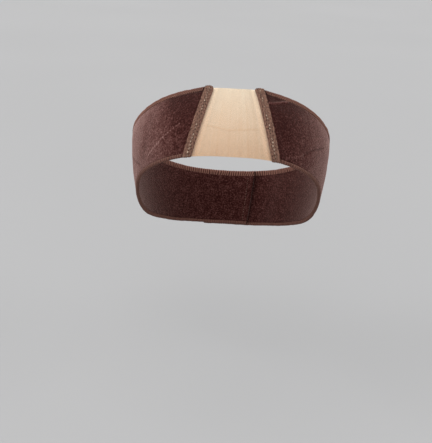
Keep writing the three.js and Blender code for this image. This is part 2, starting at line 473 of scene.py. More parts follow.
# %% [markdown]
# ## Velvet
# Velvet is a dark cloth with a short upright pile. Seen square on one looks down between the fibres and it
# is a deep red-brown; seen along the surface their lit tips show and it turns pale. The shader's sheen lobe
# is made for this. The pile is also never even: small tufts lean different ways, so fine noise moves the
# colour between five browns and roughens the surface.

# %% Velvet finish
VELVET_TONES = [
    (0.47, (0.022, 0.0043, 0.0035)),
    (0.55, (0.040, 0.0105, 0.0086)),
    (0.67, (0.080, 0.0300, 0.0260)),
    (0.81, (0.142, 0.0670, 0.0590)),
    (0.97, (0.230, 0.1340, 0.1210)),
]
VELVET_LOOK = {"Roughness": 0.95, "Specular_IOR_Level": 0.04}
VELVET_SHEEN = {"Sheen_Weight": 0.45, "Sheen_Roughness": 0.38, "Sheen_Tint": (1.0, 0.69, 0.62, 1)}
PILE_NOISE = [
    # scale per mm, detail, roughness, weight in the tone: patches, tufts, grain
    (0.13, 3, 0.6, 0.05),
    (0.4, 2, 0.7, 0.10),
    (0.8, 3, 0.75, 0.95),
]
PILE_BUMP = 0.0004


def velvet_finish():
    """Five browns by pile noise plus the nap attribute, which also holds painted sheen, shade and highlight;
    the shader's sheen for the fibre tips, bump for the grain.
    """
    finish, tree = start_finish("velvet", **VELVET_LOOK, **VELVET_SHEEN)
    place = own_place(tree)
    pile = [(noise(tree, place, row[0] / MM, *row[1:3]), row[3]) for row in PILE_NOISE]
    tone = weighted_sum(tree, *pile, (stored(tree, "nap"), 1.0))
    bump = bump_on(tree, pile[-1][0], PILE_BUMP)
    return end_finish(finish, Base_Color=colour_steps(tree, tone, VELVET_TONES), Normal=bump)


VELVET = velvet_finish()
print("velvet browns:", [colour for _, colour in VELVET_TONES])

# %% [markdown]
# ### Marks on the velvet
# The velvet is painted darker at the front and lighter at the sides, most of all along the upper edge:
# painted sheen where light grazes the sides and painted shade at the front. A short table gives it by the
# reach sideways. The strips are stretched smoothly, but the cloth was folded before it was worn: it has a
# few creases, a raised fold beside one edging, and lines where the pile was brushed up. They are charted as
# short routes in turn and share. A route raises or sinks the cloth by a bell curve of the distance from it,
# and turns the colour
# lighter or darker: painted shade in the creases, a painted highlight on the raised fold, paler pile on the
# lines.

# %% Marks and slow noise
NOISE_WAVES, WAVE_SPREAD = 26, (0.7, 1.5)
PAINTED_LIGHT_REACH, RIM_POWER = [35, 43, 50, 60, 75], 6
PAINTED_LIGHT_LAY = {
    # side: painted light at the lower edge, painted light at the upper edge, change near the upper rim, a
    # column for each reach
    -1: (
        [0.03, 0.10, 0.16, 0.155, 0.13],
        [-0.10, -0.01, 0.07, 0.17, 0.24],
        [-0.05, -0.18, 0.06, 0.13, 0.33],
    ),
    1: (
        [-0.02, 0.02, 0.06, 0.095, 0.10],
        [-0.12, -0.06, -0.01, 0.08, 0.17],
        [-0.08, -0.14, -0.08, 0.0, 0.15],
    ),
}
VELVET_MARKS = [
    # side, half width in mm, height in mm, change of nap, pitch of its dots in mm, route of (turn, share);
    # the change of nap is painted shade in the creases, a painted highlight on the raised fold, paler pile
    # on the lines
    (-1, 1.0, -0.55, -0.14, None, [(77, 0.52), (65, 0.28), (58, 0.15)]),
    (-1, 3.5, -0.2, -0.05, None, [(56, 0.71), (53, 0.4), (55.5, 0.18)]),
    (-1, 0.55, 0.1, 0.34, 2.3, [(31, 0.448), (38, 0.356), (42, 0.286), (49, 0.178)]),
    (1, 1.9, -0.1, -0.1, None, [(26, 0.865), (34, 0.89)]),
    (1, 0.9, 0.5, 0.28, None, [(24, 0.75), (30, 0.797), (36, 0.852), (41, 0.893)]),
    (1, 0.6, -0.4, -0.16, None, [(42, 0.21), (49, 0.338), (62, 0.518)]),
    (1, 0.7, 0.1, 0.2, 2.0, [(30, 0.09), (36, 0.144), (42, 0.22)]),
]


def soft_noise(x, y, row, shift=0):
    """Noise from a row of size, wavelength and seed: the size times a sum of plane waves with random
    directions and phases and like wavelengths. The shift moves the seed."""
    size, wavelength, seed = row
    draw = np.random.default_rng(seed + shift)
    angle, phase = draw.uniform(0, 2 * np.pi, (2, NOISE_WAVES))
    number = 2 * np.pi / (wavelength * draw.uniform(*WAVE_SPREAD, NOISE_WAVES))
    x, y = np.broadcast_arrays(x, y)
    waves = np.cos(x[..., None] * np.cos(angle) * number + y[..., None] * np.sin(angle) * number + phase)
    return size * (waves.sum(-1) / np.sqrt(NOISE_WAVES / 2))


def nap_lay(side, reach, share):
    """Painted sheen and shade by the reach sideways in mm: from the lower edge's to the upper edge's by the
    share, and the rim's by a high power of the share."""
    low, high, rim = (np.interp(reach, PAINTED_LIGHT_REACH, light_and_nap) for light_and_nap in PAINTED_LIGHT_LAY[side])
    return low + (high - low) * share + rim * share**RIM_POWER


def route_bell(x, y, route, width, dots):
    """exp(-(d/width)^2) of the distance d to a route's nearest stretch in mm, broken into dots if asked."""
    turn, share = np.array(route, float).T
    corner = np.stack(cloth_xy(turn, share))
    step = np.diff(corner, axis=1)
    dx, dy = x[..., None] - corner[0, :-1], y[..., None] - corner[1, :-1]
    part = np.clip((dx * step[0] + dy * step[1]) / (step**2).sum(0), 0, 1)
    away = np.hypot(dx - part * step[0], dy - part * step[1])
    bell = np.exp(-((away.min(-1) / width) ** 2))
    return bell * np.cos(np.pi * x / dots) ** 2 if dots else bell


print(len(VELVET_MARKS), "marks charted")

# %% [markdown]
# ### The strips
# Each strip is cut about 55 mm wide and tapers towards its tab. It could be simulated, but a grid with
# small relief is truer here: a thin hem inside each edging, a low crown between the hems, slow unevenness,
# and a rounded end at the tab. Rows lie closer together at the front, where the strip is seen best.

# %% The two velvet strips
STRIP_ROWS, STRIP_COLUMNS, FRONT_CROWDING = 400, 98, 1.35
HEM_RAMP = 0.7
LOW_HEM, HIGH_HEM = EDGING_WIDTHS["bottom"] - GAP, EDGING_WIDTHS["top"] - GAP
LOW_FULL, HIGH_FULL = LOW_HEM + HEM_RAMP, HIGH_HEM + HEM_RAMP
HEM_INNER, HEM_OUTER = EDGING_LEAF + GAP, EDGING_LEAF + EDGING_CAVITY - GAP
TAB_ROUND, TAB_END_SHARE = 2.5, 0.3
VELVET_NOISE = {
    # size in mm or in tone of the nap, wavelength in mm, seed
    "slow": (0.07, 22, 11),
    "fine": (0.02, 7, 21),
    "outer nap": (0.012, 9, 31),
    "inner nap": (0.012, 9, 41),
}


def velvet_share(side, turn, across):
    """Share up the cloth of a place across the strip: hems keep their width, the middle takes the taper."""
    top = strip_top(side, turn)
    stretch = (top - LOW_FULL - HIGH_FULL) / (VELVET_WIDTH - LOW_FULL - HIGH_FULL)
    middle = LOW_FULL + (across - LOW_FULL) * stretch
    upper = np.where(across > VELVET_WIDTH - HIGH_FULL, top - (VELVET_WIDTH - across), middle)
    return np.where(across < LOW_FULL, across, upper) / cloth_width(turn)


def velvet_relief(side, x, y):
    """Height in mm and nap of the outer face: slow noise, finer noise, and the charted marks, with painted
    shade in the creases and a painted highlight on the raised fold.
    """
    slow, fine, nap = (soft_noise(x, y, VELVET_NOISE[kind], side) for kind in ("slow", "fine", "outer nap"))
    height = slow + fine
    for _, width, rise, light_and_nap, dots, route in (mark for mark in VELVET_MARKS if mark[0] == side):
        bell = route_bell(x, y, route, width, dots)
        height, nap = height + rise * bell, nap + light_and_nap * bell
    return height, nap


def velvet_strip(name, side):
    """A shell between two faces by along and across: thin in the hems, crowned between, round at the tab."""
    along = np.linspace(0, 1, STRIP_ROWS)[:, None] ** FRONT_CROWDING
    across = np.linspace(EDGING_MIDDLE, VELVET_WIDTH - EDGING_MIDDLE, STRIP_COLUMNS)[None]
    start = turn_past_fold(side, across / VELVET_WIDTH, FRONT_EDGE)
    turn = start + (TAB_TURN - start) * along
    share = velvet_share(side, turn, across)
    x, y = cloth_xy(turn, share)
    full = smooth(across, LOW_HEM, LOW_FULL) * smooth(VELVET_WIDTH - across, HIGH_HEM, HIGH_FULL)
    crown = np.sin(np.pi * across / VELVET_WIDTH) * VELVET_CROWN
    height, nap = velvet_relief(side, x, y)
    outer = HEM_OUTER + (VELVET_OUTER - HEM_OUTER + crown + height) * full
    inner = HEM_INNER + (VELVET_INNER - HEM_INNER) * full
    to_end = np.clip((along_cloth(TAB_TURN) - along_cloth(turn)) / TAB_ROUND, 0, 1)
    body = TAB_END_SHARE + (1 - TAB_END_SHARE) * np.sqrt(1 - (1 - to_end) ** 2)
    middle = (outer + inner) / 2
    layers = [middle + (face - middle) * body for face in (outer, inner)]
    faces = [on_cloth(side * turn, share, strip_out(side, turn, share, layer)) for layer in layers]
    # painted sheen and shade: lighter towards the sides and darker at the front, by the reach sideways
    nap = nap + nap_lay(side, side * faces[0][..., 0], share)
    naps = np.stack([nap, soft_noise(x, y, VELVET_NOISE["inner nap"], side)])
    return make_shell(f"{name}_cloth", *faces, VELVET, "velvet", x, y, node=name, nap=naps)


STRIPS = {name: velvet_strip(f"velvet_{name}", side) for name, side in SIDES.items()}

# %% [markdown]
# ## Edgings
# A narrow brown edging is folded over both long edges of each strip. Its threads run over the fold at a
# slant, so it looks finely ribbed. It could be a plain tape with bump, but the ribs break the outline, so
# they are real: the fold's radius swells and shrinks along a slanting row of round ridges.

# %% Thread finishes
EDGING_DARK, EDGING_LIGHT = (0.028, 0.0090, 0.0068), (0.236, 0.108, 0.081)
THREAD_LOOK = {"Roughness": 0.85, "Specular_IOR_Level": 0.10}
THREAD_SHEEN = {"Sheen_Roughness": 0.5, "Sheen_Tint": (1.0, 0.76, 0.65, 1)}
FIBRE_DETAIL, FIBRE_ROUGHNESS, PATCH_SCALE = 3, 0.7, 0.3
FIBRE_WEIGHT, HEIGHT_WEIGHT = 0.3, 0.5
FIBRE_BUMP, FIBRE_STRENGTH = 0.0002, 0.8


def thread_finish(name, dark, light, sheen, fibre=2.5, patchy=0.2, gain=None):
    """Two tones of one thread by the height attribute and fibre noise, with a fibre bump and a soft sheen.
    Where an attribute of painted light is named, the colour is multiplied by it."""
    finish, tree = start_finish(name, Sheen_Weight=sheen, **THREAD_LOOK, **THREAD_SHEEN)
    place = stored(tree, "cloth", "Vector")
    fibres = noise(tree, place, fibre, FIBRE_DETAIL, FIBRE_ROUGHNESS)
    patches = noise(tree, place, PATCH_SCALE)
    height = stored(tree, "height")
    tone = weighted_sum(tree, (fibres, FIBRE_WEIGHT), (patches, patchy), (height, HEIGHT_WEIGHT))
    middle = (FIBRE_WEIGHT + patchy) / 2
    colour = colour_steps(tree, tone, [(middle, dark), (middle + HEIGHT_WEIGHT, light)])
    colour = scaled(tree, colour, gain) if gain else colour
    return end_finish(finish, Base_Color=colour, Normal=bump_on(tree, fibres, FIBRE_BUMP, FIBRE_STRENGTH))


EDGING = thread_finish("edging", EDGING_DARK, EDGING_LIGHT, 0.05)
print("edging tones:", EDGING_DARK, EDGING_LIGHT)

# %% [markdown]
# A folded edging is a profile carried along the edge: straight in on the outer leaf, half a turn over the
# fold and straight out on the inner leaf. The ribs are a wave of the distance along the edge, set over by
# the way round the fold, which slants them. Their grooves are also darker, as threads shade each other.

# %% The four edgings
EDGING_ROWS, EDGING_COLUMNS = 1230, 11
RIB_PITCH, RIB_SLANT, RIB_HEIGHT = 1.9, 0.15, 0.3
LEAF_ROUND, LEAF_THINNING = 0.5, 0.2
# base tone of each edging: the bottom one is painted darker, as painted shade under light from above
EDGING_SHADED_TONES, RIB_SHARES = {"top": 0.5, "bottom": 0.42}, {"top": 1.0, "bottom": 0.4}
FRONT_SHADES, SHADE_LENGTH = {"top": 0.2, "bottom": 0.0}, 20.0
# mm that the fibre pattern is moved to the left or the right, so that the two sides differ
SIDE_SHIFT = 400
EDGING_NOISE = {
    # size in ribs or in mm, wavelength in mm, seed
    "phase": (0.12, 7, 40),
    "swell": (0.06, 9, 60),
}


def fold_length(width, middle):
    """Length over a folded tape's face: two straights and half a turn about the fold's middle."""
    return 2 * (width - middle) + np.pi * middle


def fold_path(length, width, middle, radius):
    """Across and layer of a folded tape's face at a running length: straight in from the outer leaf's free
    edge, half a turn of the given radius about the fold's middle, and straight out on the inner leaf."""
    straight, half_turn = width - middle, np.pi * middle
    angle = np.clip((length - straight) / middle, 0, np.pi)
    beyond = np.maximum(length - straight - half_turn, 0)
    across = middle + np.maximum(straight - length, 0) + beyond - radius * np.sin(angle)
    return across, middle + radius * np.cos(angle)


def leaf_end(length, total):
    """0 in the middle of a tape's face, 1 at its two free edges, over the edge's rounding."""
    return 1 - smooth(np.minimum(length, total - length), 0, LEAF_ROUND)


def on_edging(side, edge, turn, length, radius):
    """A place on the folded edging of the top or bottom edge."""
    across, layer = fold_path(length, EDGING_WIDTHS[edge], EDGING_MIDDLE, radius)
    share = (strip_top(side, turn) - across if edge == "top" else across) / cloth_width(turn)
    out = strip_out(side, turn, share, EDGING_MIDDLE) + layer - EDGING_MIDDLE
    return on_cloth(side * turn, share, out)


def edging_start(side, edge):
    """The turn at which an edging comes out from under the binding."""
    return turn_past_fold(side, 1.0 if edge == "top" else 0.0, BINDING_WIDTH + GAP)


def edging(side_name, edge):
    """A shell between the folded tape's two faces, carried along the edge, with slanting ribs outside."""
    name, side, seed = f"{edge}_edging_{side_name}", SIDES[side_name], len(edge + side_name)
    total = fold_length(EDGING_WIDTHS[edge], EDGING_MIDDLE)
    turn = np.linspace(edging_start(side, edge), TAB_TURN, EDGING_ROWS)[:, None]
    length = np.linspace(0, total, EDGING_COLUMNS)[None]
    run = along_cloth(turn)
    drift, swell = (soft_noise(run, length, row, seed) for row in EDGING_NOISE.values())
    phase = (run + RIB_SLANT * (length - total / 2)) / RIB_PITCH + drift
    rib = RIB_SHARES[edge] * np.cos(2 * np.pi * phase) / 2
    radius = EDGING_MIDDLE + RIB_HEIGHT * (rib - 0.5) + swell - LEAF_THINNING * leaf_end(length, total)
    outer, inner = (on_edging(side, edge, turn, length, face) for face in (radius, EDGING_CAVITY / 2))
    # painted shade: the top edging is darker for its first 20 mm from the binding
    shade = FRONT_SHADES[edge] * smooth(run - run[0], SHADE_LENGTH, 0)
    tones = np.stack([EDGING_SHADED_TONES[edge] + rib - shade, 0 * rib])
    x = run + SIDE_SHIFT * side
    return make_shell(f"{name}_tape", outer, inner, EDGING, "edging", x, length, node=name, height=tones)


EDGINGS = {(name, edge): edging(name, edge) for name in SIDES for edge in EDGING_WIDTHS}

# %% [markdown]
# ## Knit bindings
# The front end of each strip is bound with a soft taupe jersey tape, folded over it with the fold towards
# the lace. Under the yarn lies a plain folded core, which closes the gaps between the loops. The core is
# painted darker than the yarn, as painted shade in the hollows of the knit.

# %% Binding cores
BINDING_DARK, BINDING_LIGHT = (0.058, 0.027, 0.020), (0.248, 0.134, 0.096)
# painted shade: the core's two tones are darker than the yarn's, for the shade in the knit's hollows
CORE_SHADE_DARK, CORE_SHADE_LIGHT = (0.035, 0.018, 0.014), (0.09, 0.05, 0.038)
TAPE_ROWS, TAPE_COLUMNS = 90, 31
CORE_SINK, CORE_END, FOLD_PRESS = 0.28, 0.4, 0.45
CORNER_WIDTH, CORNER_RISE = 2.2, 6.0
CORNER_DROP, CORNER_FLARE = {-1: 2.0, 1: 1.2}, {-1: 0.0, 1: 0.5}
BINDING_MIDDLE = BINDING_LEAF + BINDING_CAVITY / 2
BINDING_ROUND = fold_length(BINDING_WIDTH, BINDING_MIDDLE)
CLOTH_AT_FOLD = float(cloth_width(FOLD_TURN_TOP))
BINDING_HEIGHT = CLOTH_AT_FOLD - BINDING_TOP_INSET
BINDING = thread_finish("binding", BINDING_DARK, BINDING_LIGHT, 0.15, 3.5, 0.1)
BINDING_CORE_SHADE = thread_finish("binding_core", CORE_SHADE_DARK, CORE_SHADE_LIGHT, 0.2)


def on_binding(side, up, length, radius):
    """A place on the folded binding: up in mm from its lower end, length over the fold, radius of the fold.
    By a bell of the distance from the fold the fold is pressed flatter, and the corner at its top drops and
    flares out."""
    bell = np.exp(-(((length - BINDING_ROUND / 2) / CORNER_WIDTH) ** 2))
    corner = bell * smooth(up, BINDING_HEIGHT - CORNER_RISE, BINDING_HEIGHT)
    share = (up - CORNER_DROP[side] * corner) / CLOTH_AT_FOLD
    across, layer = fold_path(length, BINDING_WIDTH, BINDING_MIDDLE, radius - FOLD_PRESS * bell)
    turn = turn_past_fold(side, share, across - CORNER_FLARE[side] * corner)
    return on_cloth(side * turn, share, BINDING_BASE + layer)


def binding_core(name, side):
    """A plain shell between the folded tape's two faces, a little inside the yarn that covers it."""
    up = np.linspace(CORE_END, BINDING_HEIGHT - CORE_END, TAPE_ROWS)[:, None]
    length = np.linspace(0, BINDING_ROUND, TAPE_COLUMNS)[None]
    radii = (BINDING_MIDDLE - CORE_SINK, BINDING_CAVITY / 2)
    faces = [on_binding(side, up, length, radius) for radius in radii]
    tones = np.zeros((2, TAPE_ROWS, TAPE_COLUMNS))
    return make_shell(f"{name}_core", *faces, BINDING_CORE_SHADE, "binding", up, length, node=name, height=tones)


CORES = {name: binding_core(f"binding_{name}", side) for name, side in SIDES.items()}

# %% [markdown]
# Jersey is one yarn per row, pulled into loops through the row before, and shows as columns of small Vs. A
# bump map would do from afar, but the loops are few enough to be real yarn: each row is one path, a cosine
# up and down with a double sine sideways that bulges the loop. A thicker cord runs along the tape's edge.

# %% Knit loops on the bindings
WALES, COURSE_HEIGHT = 11, 1.1
LOOP_POINTS, YARN_SIDES = 12, 5
YARN_RADIUS, YARN_SINK, LOOP_LIFT, LOOP_BULGE, LOOP_REACH = 0.24, 0.12, 0.08, 0.19, 0.92
LOOP_TONE, LOOP_SHADE = 0.5, 0.3
ROW_LENGTH, ROW_PITCH, ROW_WIDTH = 3.3, 2.2, 0.75
HOLE_DEPTH, HOLE_SHADE = 0.15, 0.5
FOLD_SHADE, LEAF_FRONT, LEAF_BACK = 0.3, 3, 6
SELVAGE_RADIUS, SELVAGE_LENGTH, SELVAGE_SINK, SELVAGE_END = 0.42, 0.35, 0.15, 0.2
SELVAGE_POINTS, SELVAGE_SIDES, SELVAGE_TONE = 120, 8, 0.55
KNIT_NOISE = {
    # size in mm, in tone or as a share, wavelength in mm, seed
    "up": (0.08, 4, 61),
    "lift": (0.03, 3, 71),
    "tone": (0.4, 1.7, 73),
    "cord": (0.1, 2.2, 75),
    "cord tone": (0.3, 2.5, 77),
}


def knit_loops(name, side):
    """One yarn a row: sideways t plus a double sine, up a cosine, out a double cosine, as jersey loops."""
    wale = BINDING_ROUND / WALES
    courses = int(BINDING_HEIGHT / COURSE_HEIGHT)
    t = np.linspace(0, 2 * np.pi * WALES, WALES * LOOP_POINTS + 1)[None]
    row = np.arange(courses - 1)[:, None]
    length = np.clip(wale * t / (2 * np.pi) + LOOP_BULGE * wale * np.sin(2 * t), 0, BINDING_ROUND)
    up = BINDING_HEIGHT / courses * (row + 1 + LOOP_REACH * np.cos(t))
    up = up + soft_noise(length, up, KNIT_NOISE["up"], side)
    uneven, mottle = (soft_noise(length, up, KNIT_NOISE[kind], side) for kind in ("lift", "tone"))
    holes = np.exp(-(((length - ROW_LENGTH) / ROW_WIDTH) ** 2)) * np.cos(np.pi * up / ROW_PITCH) ** 2
    radius = BINDING_MIDDLE - YARN_SINK - LOOP_LIFT * np.cos(2 * t) + uneven - HOLE_DEPTH * holes
    # painted shade: the yarn is darker where each loop dips, in the stitch holes, and over the fold towards
    # the lace
    height = LOOP_TONE - LOOP_SHADE * np.cos(2 * t) + mottle
    height = height + FOLD_SHADE * (smooth(length, LEAF_BACK, LEAF_FRONT) - 0.5) - HOLE_SHADE * holes

    def place(step):
        """The yarn's paths, moved off the tape by a step."""
        return on_binding(side, up, length, radius + step)

    yarn = (YARN_RADIUS, YARN_SIDES, BINDING, "binding")
    return make_threads(f"{name}_knit", place, length, up, *yarn, height=height)


def selvage(name, side):
    """One cord up the free edge of the outer leaf."""
    up = np.linspace(SELVAGE_END, BINDING_HEIGHT - SELVAGE_END, SELVAGE_POINTS)[None]
    radius = SELVAGE_RADIUS * (1 + soft_noise(up, 0.0, KNIT_NOISE["cord"], side))
    tone = SELVAGE_TONE + soft_noise(up, 0.0, KNIT_NOISE["cord tone"], side)

    def place(step):
        """The cord's path, moved off the tape by a step."""
        return on_binding(side, up, SELVAGE_LENGTH, BINDING_MIDDLE - SELVAGE_SINK + step)

    yarn = (radius, SELVAGE_SIDES, BINDING, "binding")
    return make_threads(f"{name}_selvage", place, up, 0.0, *yarn, height=tone)


KNITS = {name: knit_loops(f"binding_{name}", side) for name, side in SIDES.items()}
SELVAGES = {name: selvage(f"binding_{name}", side) for name, side in SIDES.items()}

# %% [markdown]
# ## Lace
# The lace is a fine net in a nude thread. It could be a sheet with holes painted by transparency, but then
# its edge and its shadow are wrong close up. Its six-sided meshes are real threads: a honeycomb has three
# threads for each second corner, so all of them come from one lattice at once. The mist of finer threads
# between them is far too small to model, and only that ground is left to a see-through film.

# %% Lace finishes
LACE_DARK, LACE_LIGHT = (0.585, 0.34, 0.182), (0.795, 0.715, 0.570)
GROUND_OPEN, GROUND_CLOSED = 0.35, 0.85
CELLS_PER_MM, CELL_WALL, CELL_MIDDLE = 2.6, 0.05, 0.25
LACE = thread_finish("lace", LACE_DARK, LACE_LIGHT, 0.15, 1.2, 0.06, "gain")


def ground_finish():
    """The lace colour with its painted light beside the bindings, let through by a cell pattern: nearly
    closed on the cell walls, open between them.
    """
    finish, tree = start_finish("lace_ground", Roughness=0.8, Specular_IOR_Level=0.15)
    cells = {"Vector": stored(tree, "cloth", "Vector"), "Scale": CELLS_PER_MM}
    wall = add_node(tree, "ShaderNodeTexVoronoi", cells, feature="DISTANCE_TO_EDGE").outputs["Distance"]
    limits = {"From Min": CELL_WALL, "From Max": CELL_MIDDLE, "To Min": GROUND_CLOSED, "To Max": GROUND_OPEN}
    closed = add_node(tree, "ShaderNodeMapRange", {"Value": wall, **limits}).outputs["Result"]
    colour = colour_steps(tree, stored(tree, "height"), [(0.0, LACE_DARK), (1.0, LACE_LIGHT)])
    return end_finish(finish, Alpha=closed, Base_Color=scaled(tree, colour, "gain"))


LACE_GROUND = ground_finish()
print("lace tones:", LACE_DARK, LACE_LIGHT)

# %% [markdown]
# The panel lies stretched on the wall, but it still shows slow ripples and one fine wrinkle across. Net and
# ground share that relief. The wrinkle is painted darker as shade, and the lace is painted lighter towards
# its top as light falls from above. Beside the bindings a gain lifts its colour: painted light that narrows
# the shadow the bindings cast. The net stops just short of both edges and is tucked under the bindings at
# the sides, so every thread whose two ends are inside that outline is kept and the others are dropped.

# %% The lace net and its ground
NET_PITCH, NET_RADIUS, NET_SIDES, NET_REACH = 0.8, 0.11, 3, 34.0
GROUND_ROWS, GROUND_COLUMNS = 61, 61
GROUND_INNER, GROUND_OUTER = 0.42, 0.5
# mm up the middle of the lace, and mm along it for each degree of turn
LACE_HEIGHT, LACE_DEGREE = float(cloth_width(0)), 1.2
# painted light: the lace is lighter towards its top and darker towards its lower edge, as light falls from
# above
LACE_TONE, LACE_TOP_LIGHT = 0.5, 0.5
# painted light: a gain lifts the lace's colour beside the bindings, against the shadow they cast
RIM_PAINTED_LIGHT, RIM_FULL, RIM_END = 0.28, 0.8, 4.4
RIPPLE_HEIGHT, RIPPLE_TONE = 0.04, 0.01
LACE_NOISE = {
    # size, wavelength in mm, seed
    "ripples": (1.0, 14, 81),
    "lines": (0.025, 2.2, 83),
}
WRINKLE = [(-16, 0.40), (-9, 0.37), (-2, 0.34), (7, 0.355), (16, 0.38)]
# painted shade: the wrinkle's line is darker than the lace round it
WRINKLE_WIDTH, WRINKLE_HEIGHT, WRINKLE_SHADE, WRINKLE_FADE = 0.45, 0.15, 0.15, 2


def lace_relief(turn, share):
    """Height in mm, tone and colour gain of the lace: slow ripples, fine lines up the cloth where threads
    differ, one wrinkle across, a bell of the distance, painted shade in the wrinkle, painted light towards
    the top, and a gain of painted light beside the bindings that narrows their shadow."""
    x, y = turn * LACE_DEGREE, share * LACE_HEIGHT
    spots, levels = np.array(WRINKLE, float).T
    away = y - LACE_HEIGHT * np.interp(turn, spots, levels)
    kept = smooth(np.abs(turn), spots[-1] + WRINKLE_FADE, spots[-1] - WRINKLE_FADE)
    bell = kept * np.exp(-((away / WRINKLE_WIDTH) ** 2))
    ripple, lines = soft_noise(x, y, LACE_NOISE["ripples"]), soft_noise(x, 0 * y, LACE_NOISE["lines"])
    height = RIPPLE_HEIGHT * ripple + WRINKLE_HEIGHT * bell
    tone = LACE_TONE + RIPPLE_TONE * ripple + lines + LACE_TOP_LIGHT * (share - 0.5)
    margin = LACE_DEGREE * (turn_past_fold(np.sign(turn), share, 0) - np.abs(turn))
    return height, tone - WRINKLE_SHADE * bell, 1 + RIM_PAINTED_LIGHT * smooth(margin, RIM_END, RIM_FULL)


def lace_net():
    """Threads of a honeycomb: from each even corner one goes up and two go down and aside."""
    rise = NET_PITCH / np.sqrt(3)
    row_step = 1.5 * rise
    columns, rows = int(NET_REACH / NET_PITCH), int(LACE_HEIGHT / row_step) + 2
    column, row = np.meshgrid(np.arange(-columns, columns + 1), np.arange(rows))
    x = (NET_PITCH * (column + 0.5 * (row % 2))).ravel()
    y = (row_step * row).ravel()
    ends_x = np.concatenate([x, x + NET_PITCH / 2, x - NET_PITCH / 2])
    ends_y = np.concatenate([y + rise, y - rise / 2, y - rise / 2])
    x, y = np.stack([np.tile(x, 3), ends_x], 1), np.stack([np.tile(y, 3), ends_y], 1)
    share, inset = y / LACE_HEIGHT, LACE_INSET / LACE_HEIGHT
    turn = turn_along(0.0, np.clip(share, 0, 1), x)
    tucked = turn_past_fold(np.sign(turn), np.clip(share, 0, 1), LACE_TUCK)
    inside = (np.abs(turn) < tucked) & (share > inset) & (share < 1 - inset)
    turn, share, x, y = (values[inside.all(1)] for values in (turn, share, x, y))
    height, tone, gain = lace_relief(turn, share)

    def place(step):
        """The threads' ends, moved off the wall by a step."""
        return on_cloth(turn, share, LACE_THICK / 2 + height + step)

    yarn = (NET_RADIUS, NET_SIDES, LACE, "lace")
    return make_threads("lace_panel_net", place, x, y, *yarn, node="lace_panel", height=tone, gain=gain)


def lace_ground():
    """A film just under the net: share up the cloth by turn between the two bindings."""
    share = np.linspace(0, 1, GROUND_COLUMNS)[None]
    share = (LACE_INSET + share * (LACE_HEIGHT - 2 * LACE_INSET)) / LACE_HEIGHT
    left, right = (side * turn_past_fold(side, share, LACE_TUCK) for side in (-1, 1))
    turn = left + (right - left) * np.linspace(0, 1, GROUND_ROWS)[:, None]
    height, *tones = lace_relief(turn, share)
    outer, inner = (on_cloth(turn, share, level + height) for level in (GROUND_OUTER, GROUND_INNER))
    tone, gain = (np.stack([values, values]) for values in tones)
    x, y = turn * LACE_DEGREE, share * LACE_HEIGHT
    return make_shell("lace_panel_ground", outer, inner, LACE_GROUND, "lace", x, y, height=tone, gain=gain)


NET = lace_net()
GROUND = lace_ground()

# %% [markdown]
# ## Sewing
# A row of pale stitches runs up the middle of each binding over a flat zigzag of its own colour, because a
# zigzag stretches with the cloth. Straight rows run along the edgings and across the tabs. A stitch is a
# short thread that dives into the cloth at both ends: a tube whose radius swells from nearly nothing and
# whose path rises in a low arch.

# %% Stitch helper
SEAM_DARK, SEAM_LIGHT = (0.17, 0.105, 0.078), (0.62, 0.52, 0.40)
SEAM = thread_finish("seam_thread", SEAM_DARK, SEAM_LIGHT, 0.2, 4.0, 0.1)
STITCHES = {
    # pitch, length, radius and rise in mm, tone, its unevenness, its fade from the start to the end of a row
    "zigzag": (1.1, 1.1, 0.2, 0.25, 0.7, 0.2, 0.0),
    "stitches": (ROW_PITCH, 1.5, 0.28, 0.4, 0.55, 0.4, 0.4),
    "hem": (2.2, 1.4, 0.13, 0.2, -0.1, 0.1, 0.0),
    "tab": (2.4, 1.6, 0.14, 0.2, -0.1, 0.1, 0.0),
}
STITCH_POINTS, STITCH_SIDES, STITCH_DIVE, STITCH_TIP, TONE_WAVE = 7, 6, 0.1, 0.05, 6


def stitch_row(name, slot, kind, reach, place, finish=SEAM):
    """A row of stitches over a reach in mm. place(run, lift) gives points from the distance along the row
    and off the cloth; each stitch is a parabola that starts and ends under the cloth."""
    pitch, length, radius, rise, tone, uneven, fade = STITCHES[kind]
    u = np.linspace(-1, 1, STITCH_POINTS)
    run = pitch * (np.arange(int(reach / pitch))[:, None] + 0.5) + 0.5 * length * u
    lift = rise * (1 - u**2) - STITCH_DIVE
    height = tone + soft_noise(run, 0.0, (uneven, TONE_WAVE, len(name))) - fade * run / run.max()

    def lifted(step):
        """The stitches' paths, moved off the cloth by a step."""
        return place(run, lift + step)

    yarn = (radius * np.sqrt(1 + STITCH_TIP - u**2), STITCH_SIDES, finish, slot)
    return make_threads(name, lifted, run, 0.0, *yarn, height=height)


print(len(STITCHES), "kinds of stitches")

# %% [markdown]
# Both rows on a binding are the same stitches with another swing: none for the straight row, and a triangle
# wave from side to side for the zigzag. The pale thread of the straight row catches the light unevenly, so
# its tone drifts from stitch to stitch and fades towards the top.

# %% Stitches on the bindings
BINDING_ROWS = {"zigzag": (1.3, BINDING), "stitches": (0.0, SEAM)}
# size and wavelength in mm and seed of the rows' drift sideways
ROW_DRIFT = (0.2, 4, 91)


def binding_row(side_name, kind):
    """Stitches up a binding that swing from side to side: a triangle wave of the distance up."""
    side, pitch = SIDES[side_name], STITCHES[kind][0]
    swing, finish = BINDING_ROWS[kind]

    def place(run, lift):
        """Places on the outer leaf by the distance up the tape and off it, swung to both sides."""
        wave = 1 - 4 * np.abs((run / (2 * pitch)) % 1 - 0.5)
        length = ROW_LENGTH + swing * wave + soft_noise(run, 0.0, ROW_DRIFT, side)
        return on_binding(side, run, length, BINDING_MIDDLE + lift)

    return stitch_row(f"binding_{side_name}_{kind}", "binding", kind, BINDING_HEIGHT, place, finish)


BINDING_STITCHES = {(name, kind): binding_row(name, kind) for name in SIDES for kind in BINDING_ROWS}

